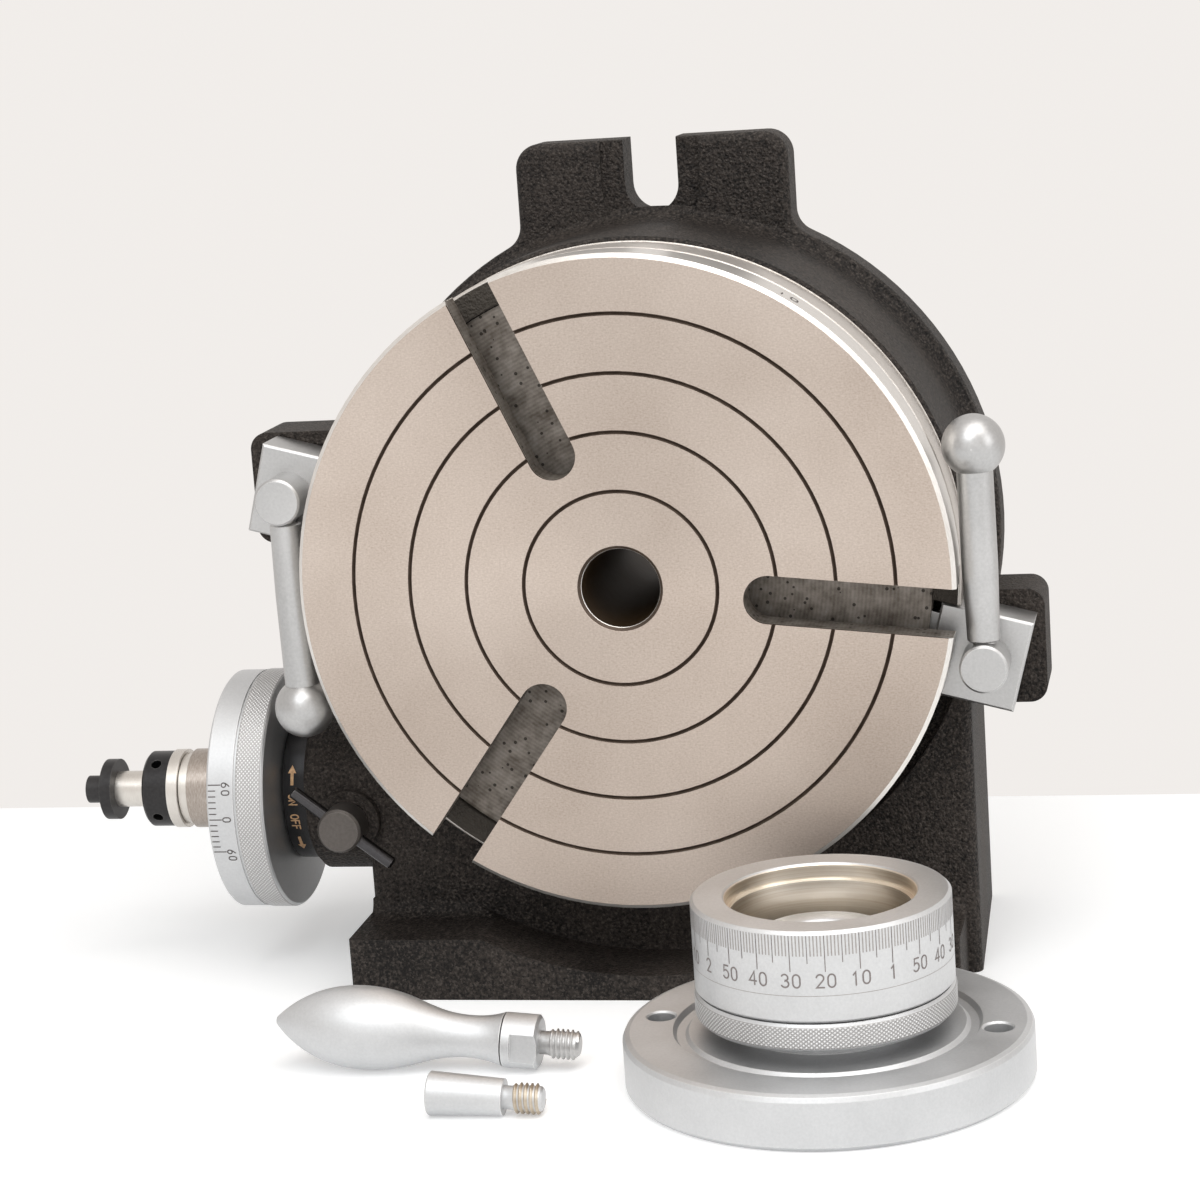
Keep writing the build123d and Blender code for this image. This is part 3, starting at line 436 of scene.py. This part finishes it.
# Engraved single-stroke characters in a cell 0.6 wide and 1 high
GLYPHS = {
    "0": [arc(0.3, 0.68, 0.27, 0.32, 0, 180) + arc(0.3, 0.32, 0.27, 0.32, 180, 360) + [(0.57, 0.68)]],
    "1": [[(0.16, 0.8), (0.34, 1.0), (0.34, 0.0)]],
    "2": [arc(0.3, 0.72, 0.27, 0.28, 165, -35) + [(0.04, 0.0), (0.58, 0.0)]],
    "3": [arc(0.28, 0.75, 0.25, 0.25, 150, -80) + arc(0.28, 0.27, 0.29, 0.27, 80, -150)],
    "4": [[(0.44, 0.0), (0.44, 1.0), (0.0, 0.28), (0.6, 0.28)]],
    "5": [[(0.54, 1.0), (0.12, 1.0), (0.08, 0.55)] + arc(0.28, 0.32, 0.3, 0.32, 130, -145)],
    "6": [[(0.45, 1.0), (0.2, 0.72), (0.05, 0.45)] + arc(0.3, 0.29, 0.27, 0.29, 160, -200, 26)],
    "N": [[(0.04, 0.0), (0.04, 1.0), (0.56, 0.0), (0.56, 1.0)]],
    "O": [arc(0.3, 0.5, 0.29, 0.5, 0, 360, 28)],
    "F": [[(0.54, 1.0), (0.06, 1.0), (0.06, 0.0)], [(0.06, 0.52), (0.46, 0.52)]],
}


def ribbon(points, width):
    """Flat stroke along a path: a strip with mitred corners and round ends, as 2-D points and quads."""
    closed = (Vector(points[0]) - Vector(points[-1])).length < 1e-6
    path = [Vector(p) for p in (points[:-1] if closed else points)]
    count = len(path)
    verts = []
    for i, p in enumerate(path):
        before = path[i - 1] if (i or closed) else p
        after = path[(i + 1) % count] if (i < count - 1 or closed) else p
        way_in = (p - before).normalized() if (p - before).length else (after - p).normalized()
        way_out = (after - p).normalized() if (after - p).length else way_in
        middle = (way_in + way_out).normalized() if (way_in + way_out).length > 1e-6 else way_in
        side = Vector((-middle.y, middle.x))
        stretch = 1 / max(0.45, side.dot(Vector((-way_out.y, way_out.x))))
        verts += [p + side * width / 2 * stretch, p - side * width / 2 * stretch]
    last = count if closed else count - 1
    faces = [(2 * i, 2 * i + 1, (2 * i + 3) % (2 * count), (2 * i + 2) % (2 * count)) for i in range(last)]
    if not closed:
        for end, toward in ((0, path[0] - path[1]), (count - 1, path[-1] - path[-2])):
            heading = atan2(toward.y, toward.x)
            turns = [heading + pi / 2 - pi * k / 6 for k in range(7)]
            faces.append(tuple(range(len(verts), len(verts) + 7)))
            verts += [path[end] + Vector((cos(turn), sin(turn))) * width / 2 for turn in turns]
    return verts, faces


def lettering(text, height, width, pitch=0.78):
    """Text as flat strokes round its own middle: points in millimetres and faces."""
    verts, faces = [], []
    total = (len(text) - 1) * pitch + 0.6
    for index, letter in enumerate(text):
        for stroke in GLYPHS[letter]:
            line = [((u + index * pitch - total / 2) * height, (v - 0.5) * height) for u, v in stroke]
            points, quads = ribbon(line, width)
            faces += [tuple(k + len(verts) for k in quad) for quad in quads]
            verts += points
    return verts, faces


def bar_mark(u, v0, v1, width):
    """Straight graduation line as one flat quad."""
    left, right = u - width / 2, u + width / 2
    return [Vector((left, v0)), Vector((right, v0)), Vector((right, v1)), Vector((left, v1))], [(0, 1, 2, 3)]


def gather(items, place):
    """Joins flat marks into one list of 3-D points and faces through a placing function."""
    verts, faces = [], []
    for points, quads in items:
        faces += [tuple(k + len(verts) for k in quad) for quad in quads]
        verts += [place(p[0], p[1]) for p in points]
    return verts, faces


def moved(marks, du, dv, turn=0.0):
    c, s = cos(radians(turn)), sin(radians(turn))
    return [Vector((p[0] * c - p[1] * s + du, p[0] * s + p[1] * c + dv)) for p in marks[0]], marks[1]


def mirrored(marks):
    """Marks laid out from right to left, for a scale read against the direction of u."""
    return [Vector((-p[0], p[1])) for p in marks[0]], marks[1]


# Dial collar: minutes round the top, numbered every ten
def on_dial(radius):
    def place(u, v):
        turn = u / DIAL_R
        return WHEEL_X + radius * cos(turn), WHEEL_Y + radius * sin(turn), v
    return place


FIRST_MARK = -81.3
DIAL_LINES = 240
LINE_TOP = DIAL_TOP - 0.75
LABEL_HEIGHT = 30.45
PLAIN_BAND_TOP = 27.2
dial_labels = ("20", "10", "1", "50", "40", "30", "20", "10", "0", "50", "40", "30",
               "20", "10", "3", "50", "40", "30", "20", "10", "2", "50", "40", "30")
fine, long_marks, digits = [], [], []
for index in range(DIAL_LINES):
    u = radians(FIRST_MARK + 360 / DIAL_LINES * index) * DIAL_R
    if index % 10 == 0:
        long_marks.append(bar_mark(u, 32.4, LINE_TOP, 0.2))
    elif index % 5 == 0:
        long_marks.append(bar_mark(u, 34.2, LINE_TOP, 0.18))
    else:
        fine.append(bar_mark(u, 35.7, LINE_TOP, 0.26))
for index, label in enumerate(dial_labels):
    u = radians(FIRST_MARK + 360 / len(dial_labels) * index) * DIAL_R
    digits.append(moved(lettering(label, 2.75, 0.34, 0.86), u, LABEL_HEIGHT))
ring_line = [Vector((radians(3 * k) * DIAL_R, PLAIN_BAND_TOP + 0.12 * e)) for k in range(121) for e in (0, 1)]
fine.append((ring_line, [(2 * k, 2 * k + 2, 2 * k + 3, 2 * k + 1) for k in range(120)]))
add_mesh("dial_minute_lines", *gather(fine, on_dial(DIAL_R + 0.02)), fine_ink, "dial", "satin_chrome", False)
add_mesh("dial_long_lines", *gather(long_marks, on_dial(DIAL_R + 0.035)), dial_ink, "dial", "satin_chrome",
         False)
add_mesh("dial_numbers", *gather(digits, on_dial(DIAL_R + 0.035)), dial_ink, "dial", "satin_chrome", False)


def lathe_band(profile, turns, place, name, material, body, slot):
    """Closed band of revolution; profile gives radius and run for each column and each turn step."""
    verts, faces = [], []
    columns = len(profile(0))
    for step in range(turns):
        for radius, run in profile(step):
            verts.append(place(2 * pi * step / turns, radius, run))
    for step in range(turns):
        nxt = (step + 1) % turns
        for k in range(columns - 1):
            faces.append((step * columns + k, nxt * columns + k, nxt * columns + k + 1, step * columns + k + 1))
    return add_mesh(name, verts, faces, material, body, slot)


def diamond(rows, base, lift, start, end, per_diamond=6):
    """Crossed knurl: height over a cylinder as two opposite slanted waves, run out at both ends."""
    def profile(step):
        ring = [(base - 0.06, start)]
        for k in range(rows + 1):
            a = 2 * pi * (step + k) / per_diamond
            b = 2 * pi * (step - k) / per_diamond
            height = 0.5 * (1 + min(cos(a), cos(b)))
            edge = min(1.0, min(k, rows - k) / 1.5)
            run = start + (end - start) * k / rows
            ring.append((base + 0.015 + lift * height * edge, run))
        ring.append((base - 0.06, end))
        return ring
    return profile


def about_wheel(turn, radius, run):
    return WHEEL_X + radius * cos(turn), WHEEL_Y + radius * sin(turn), run


def about_worm(turn, radius, run):
    return run, WORM_Y - radius * cos(turn), WORM_Z - radius * sin(turn)


# Raised hub of the handwheel, seen as a bright ring down the bore of the dial
def hub_ring(step):
    inner = HUB_COUNTERBORE_R
    floor = HUB_COUNTERBORE_FLOOR
    return [(inner, floor), (inner, HUB_TOP - 0.6), (inner + 0.6, HUB_TOP), (HUB_R - 0.7, HUB_TOP),
            (HUB_R, HUB_TOP - 0.7), (HUB_R, HUB_FOOT), (12.2, HUB_FOOT), (inner, floor)]


lathe_band(hub_ring, 96, about_wheel, "handwheel_hub_ring", chrome, "handwheel_disc", "satin_chrome")

# Knurls of the dial's lock ring and of the vernier ring
lathe_band(diamond(32, DIAL_R, 0.24, DIAL_SEAT + 0.85, LOCK_RING_TOP - 0.65), 960, about_wheel,
           "dial_ring_knurl", knurl_material("dial_ring_knurled", DIAL_R, False), "dial_ring", "satin_chrome")
lathe_band(diamond(40, RING_R, 0.22, RING_RIGHT - 0.55, KNURL_LEFT), 1050, about_worm,
           "vernier_knurl", knurl_material("vernier_knurled", RING_R, True), "vernier", "satin_chrome")


# Vernier scale: 60 - 0 - 60 in twelve divisions, numbers read downward
def on_ring(radius):
    def place(u, v):
        turn = u / RING_R
        return v, WORM_Y - radius * cos(turn), WORM_Z + radius * sin(turn)
    return place


DIVISION = 2.75
scale, words = [], []
for index in range(-6, 7):
    u = radians(DIVISION * index) * RING_R
    far = -101.75 if index in (-6, 0, 6) else -103.0
    scale.append(bar_mark(u, RING_LEFT + 0.55, far, 0.26))
for index, label, shift in ((6, "60", -0.95), (0, "0", 0.0), (-6, "60", -0.95)):
    u = radians(DIVISION * index) * RING_R
    words.append(moved(mirrored(lettering(label, 1.9, 0.28, 0.98)), u + shift, -100.55))
add_mesh("vernier_lines", *gather(scale, on_ring(RING_R + 0.03)), ink, "vernier", "satin_chrome", False)
add_mesh("vernier_numbers", *gather(words, on_ring(RING_R + 0.03)), ink, "vernier", "satin_chrome", False)


# Gold arrows and words on the flange of the eccentric sleeve
def on_sleeve(radius):
    def place(u, v):
        turn = u / SLEEVE_R
        return v, SLEEVE_Y - radius * cos(turn), WORM_Z + radius * sin(turn)
    return place


def arrow(length, head, wide, shaft, way):
    """Arrow along u in short slices, so that it follows the round flange."""
    verts, faces = [], []
    cuts = [length * k / 18 for k in range(19)] + [length - head - 0.001, length - head]
    for k, run in enumerate(sorted(cuts)):
        half = shaft / 2 if run < length - head else wide / 2 * (length - run) / head
        verts += [Vector(((run - length / 2) * way, half)), Vector(((run - length / 2) * way, -half))]
        if k:
            faces.append((2 * k - 2, 2 * k - 1, 2 * k + 1, 2 * k))
    return verts, faces


gold_marks = []
for at, way in ((22.0, 1), (-37.5, -1)):
    gold_marks.append(moved(arrow(4.9, 2.0, 2.1, 0.75, way), radians(at) * SLEEVE_R, FLANGE_MIDDLE))
for at, label in ((3.0, "ON"), (-15.5, "OFF")):
    marks = mirrored(lettering(label, 1.9, 0.34, 0.76))
    gold_marks.append(moved(marks, radians(at) * SLEEVE_R, FLANGE_MIDDLE))
add_mesh("sleeve_marks", *gather(gold_marks, on_sleeve(SLEEVE_R + 0.04)), gold, "eccentric", "black_oxide", False)


# Turned threads: the two studs replace the plain ends of their CAD nodes
def screw_thread(name, place, start, end, crest, root, pitch, material, body, slot):
    """Closed right-hand 60 degree thread along x, run out at both ends."""
    per_turn = 40
    turns = (end - start) / pitch
    steps = int(turns * per_turn)
    section = [(-0.5, 0.0), (-0.4, 0.0), (-0.07, 1.0), (0.07, 1.0), (0.4, 0.0), (0.5, 0.0)]
    verts, faces = [], []
    for step in range(steps + 1):
        turn = 2 * pi * step / per_turn
        centre = start + pitch * step / per_turn
        fade = min(1.0, step / (per_turn * 0.3), (steps - step) / (per_turn * 0.3))
        for offset, height in section:
            radius = root + (crest - root) * height * fade
            verts.append(place @ Vector((centre + offset * pitch, radius * cos(turn), radius * sin(turn))))
    width = len(section)
    for step in range(steps):
        for k in range(width - 1):
            here, ahead = step * width + k, (step + 1) * width + k
            faces.append((here, here + 1, ahead + 1, ahead))
    return add_mesh(name, verts, faces, material, body, slot)


def lying(x, y, at, tilt, height):
    """Frame of a turned piece lying on the floor along +X."""
    return Matrix.Translation((x, y, height)) @ Matrix.Rotation(tilt, 4, "Y") @ Matrix.Translation((-at, 0, 0))


handle_tilt = atan2(BELLY_R - FERRULE_R, FERRULE_END - BELLY_AT)
handle_frame = lying(HANDLE_X, HANDLE_Y, BELLY_AT, handle_tilt, BELLY_R / cos(handle_tilt))
knob_tilt = atan2(KNOB_LARGE - KNOB_SMALL, KNOB_LENGTH)
knob_frame = lying(KNOB_X, KNOB_Y, 0, knob_tilt, KNOB_LARGE / cos(knob_tilt))


def turned_end(profile, place, name, material, body, slot, turns=64):
    """Solid of revolution about a lying axis from length and radius pairs."""
    verts, faces = [], []
    for step in range(turns):
        angle = 2 * pi * step / turns
        verts += [place @ Vector((s, r * cos(angle), r * sin(angle))) for s, r in profile]
    count = len(profile)
    for step in range(turns):
        nxt = (step + 1) % turns
        for k in range(count - 1):
            faces.append((step * count + k, step * count + k + 1, nxt * count + k + 1, nxt * count + k))
    return add_mesh(name, verts, faces, material, body, slot)


def without_stud(node, place, beyond, name, material, body):
    """Copy of a CAD node's mesh without the faces past a length along its axis."""
    source = cad[node]
    mesh = source.data.copy()
    mesh.name = name
    bm = bmesh.new()
    bm.from_mesh(mesh)
    back = place.inverted()
    gone = [f for f in bm.faces if max((back @ (v.co / MM)).x for v in f.verts) > beyond]
    bmesh.ops.delete(bm, geom=gone, context="FACES")
    bm.to_mesh(mesh)
    bm.free()
    obj = bpy.data.objects.new(name, mesh)
    bpy.context.scene.collection.objects.link(obj)
    mesh.materials.clear()
    mesh.materials.append(material)
    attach(obj, body)
    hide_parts(node)
    return obj


def soft_shade(obj, angle=35):
    """Smooth shading with sharp edges kept."""
    obj.data.polygons.foreach_set("use_smooth", [True] * len(obj.data.polygons))
    obj.data.set_sharp_from_angle(angle=radians(angle))


def stud_profile(shoulder, end, neck, chamfer, tip):
    """Core of a threaded stud, sunk a little into its shoulder, as length and radius pairs."""
    return [(shoulder - 0.3, 0.0), (shoulder - 0.3, neck), (shoulder + 1.7, neck), (shoulder + 2.1, 2.72),
            (end - chamfer, 2.72), (end, tip), (end, 0.0)]


without_stud("handle_spindle", handle_frame, FERRULE_END + 0.5, "handle_ferrule", chrome, "handle_stem")
soft_shade(turned_end(stud_profile(FERRULE_END, HANDLE_END, 2.55, 0.7, 2.1), handle_frame, "handle_stud_core",
                      stud_metal, "handle_stem", "satin_chrome"))
screw_thread("handle_stud_thread", handle_frame, FERRULE_END + 2.3, HANDLE_END - 0.55, STUD_R, 2.6, 1.1,
             stud_metal, "handle_stem", "satin_chrome")
without_stud("taper_knob", knob_frame, KNOB_LENGTH + 0.5, "knob_taper", chrome, "knob")
soft_shade(turned_end(stud_profile(KNOB_LENGTH, KNOB_END, 2.5, 0.5, 2.3), knob_frame, "knob_stud_core",
                      chrome, "knob", "satin_chrome"))
screw_thread("knob_stud_thread", knob_frame, KNOB_LENGTH + 2.2, KNOB_END - 0.5, STUD_R, 2.6, 1.15, stained,
             "knob", "satin_chrome")


# Zero line with its small mark on the rim of the table
def on_rim(radius):
    def place(u, v):
        turn = u / TABLE_R
        return radius * sin(turn), v, AXIS_Z + radius * cos(turn)
    return place


rim_marks = []
zero = radians(ZERO_MARK_ANGLE) * TABLE_R
rim_marks.append(moved(lettering("0", 3.0, 0.4), zero - 0.2, FACE_Y + 6.2, 180))
rim_marks.append(bar_mark(zero - 3.2, FACE_Y + 4.4, FACE_Y + 6.6, 0.35))
add_mesh("rim_zero_mark", *gather(rim_marks, on_rim(TABLE_R + 0.03)), ink, "rotary_table", "ground_face",
         False)


# Floor; it ends where the wall starts, and the world gives the wall's tone
def plain_stage(name, dark, light, glow):
    """Matt backdrop: faint blotches; seen by the camera and in reflections it glows to a pale tone."""
    t = Tree(name)
    fleck = t.noise(6.0, 3.0, 0.5)
    colour = t.mix(fleck, dark, light)
    t.shader.inputs["Roughness"].default_value = 0.9
    t.shader.inputs["Specular IOR Level"].default_value = 0.1
    t.put(t.shader.inputs["Base Color"], colour)
    path = t.node("ShaderNodeLightPath")
    seen = t.math("MAXIMUM", path.outputs["Is Camera Ray"],
                  t.math("MAXIMUM", path.outputs["Is Glossy Ray"], path.outputs["Is Transmission Ray"]))
    light_out = t.node("ShaderNodeEmission")
    t.put(light_out.inputs["Color"], colour)
    t.put(light_out.inputs["Strength"], t.math("MULTIPLY", seen, glow))
    both = t.node("ShaderNodeAddShader")
    t.link(t.shader.outputs[0], both.inputs[0])
    t.link(light_out.outputs[0], both.inputs[1])
    t.link(both.outputs[0], t.output.inputs[0])
    return t.material


def sheet_of(name, corners, material):
    mesh = bpy.data.meshes.new(name)
    mesh.from_pydata([Vector(c) for c in corners], [], [(0, 1, 2, 3)])
    mesh.materials.append(material)
    obj = bpy.data.objects.new(name, mesh)
    bpy.context.scene.collection.objects.link(obj)
    return obj


WALL_Y = 0.131
sheet_of("floor", [(-3, -3, 0), (3, -3, 0), (3, WALL_Y, 0), (-3, WALL_Y, 0)],
         plain_stage("floor_white", (0.86, 0.86, 0.86), (0.9, 0.9, 0.9), 0.34))


def area_light(name, place, target, size, energy, colour):
    light = bpy.data.lights.new(name, "AREA")
    light.shape = "RECTANGLE"
    light.size, light.size_y = size
    light.energy = energy
    light.color = colour
    obj = bpy.data.objects.new(name, light)
    obj.location = place
    obj.rotation_euler = (Vector(target) - Vector(place)).to_track_quat("-Z", "Y").to_euler()
    bpy.context.scene.collection.objects.link(obj)


area_light("top_softbox", (0.25, -0.35, 1.1), (0, 0, 0.05), (1.1, 0.9), 6.6, (1.0, 0.985, 0.965))
area_light("front_softbox", (-0.2, -1.0, 1.05), (0, 0, 0.12), (0.7, 0.7), 4.4, (0.92, 0.965, 1.0))
area_light("right_softbox", (1.05, -0.5, 0.5), (0, 0, 0.08), (0.5, 0.7), 2.2, (0.97, 0.985, 1.0))
area_light("low_front_card", (0.1, -1.05, 0.3), (0, 0, 0.1), (1.3, 0.45), 0.9, (0.95, 0.98, 1.0))

world = bpy.data.worlds.new("studio")
world.use_nodes = True
bpy.context.scene.world = world
sky = world.node_tree
studio_light = sky.nodes["Background"]
studio_light.inputs["Color"].default_value = (0.95, 0.93, 0.91, 1)
studio_light.inputs["Strength"].default_value = 0.44
wall_tone = sky.nodes.new("ShaderNodeBackground")
wall_tone.inputs["Color"].default_value = (0.98, 0.945, 0.915, 1)
wall_tone.inputs["Strength"].default_value = 0.9
path = sky.nodes.new("ShaderNodeLightPath")
glossy_or_clear = sky.nodes.new("ShaderNodeMath")
glossy_or_clear.operation = "MAXIMUM"
seen = sky.nodes.new("ShaderNodeMath")
seen.operation = "MAXIMUM"
either = sky.nodes.new("ShaderNodeMixShader")
sky.links.new(path.outputs["Is Glossy Ray"], glossy_or_clear.inputs[0])
sky.links.new(path.outputs["Is Transmission Ray"], glossy_or_clear.inputs[1])
sky.links.new(path.outputs["Is Camera Ray"], seen.inputs[0])
sky.links.new(glossy_or_clear.outputs[0], seen.inputs[1])
sky.links.new(seen.outputs[0], either.inputs[0])
sky.links.new(studio_light.outputs[0], either.inputs[1])
sky.links.new(wall_tone.outputs[0], either.inputs[2])
sky.links.new(either.outputs[0], sky.nodes["World Output"].inputs["Surface"])

# Camera at the photograph's viewing angle
azimuth, elevation, roll = radians(12.29), radians(11.58), radians(-4.01)
back = Vector((sin(azimuth) * cos(elevation), -cos(azimuth) * cos(elevation), sin(elevation)))
right = Vector((cos(azimuth), sin(azimuth), 0))
upward = back.cross(right)
right_rolled = right * cos(roll) + upward * sin(roll)
up_rolled = upward * cos(roll) - right * sin(roll)
camera_data = bpy.data.cameras.new("camera")
camera_data.sensor_width = 36.0
camera_data.lens = 89.83
camera_data.clip_start = 0.01
camera = bpy.data.objects.new("camera", camera_data)
pose = Matrix((right_rolled, up_rolled, back)).transposed().to_4x4()
pose.translation = Vector((135.29, -682.75, 229.84)) * MM
camera.matrix_world = pose
bpy.context.scene.collection.objects.link(camera)
bpy.context.scene.camera = camera
bpy.context.scene.view_settings.view_transform = "Standard"
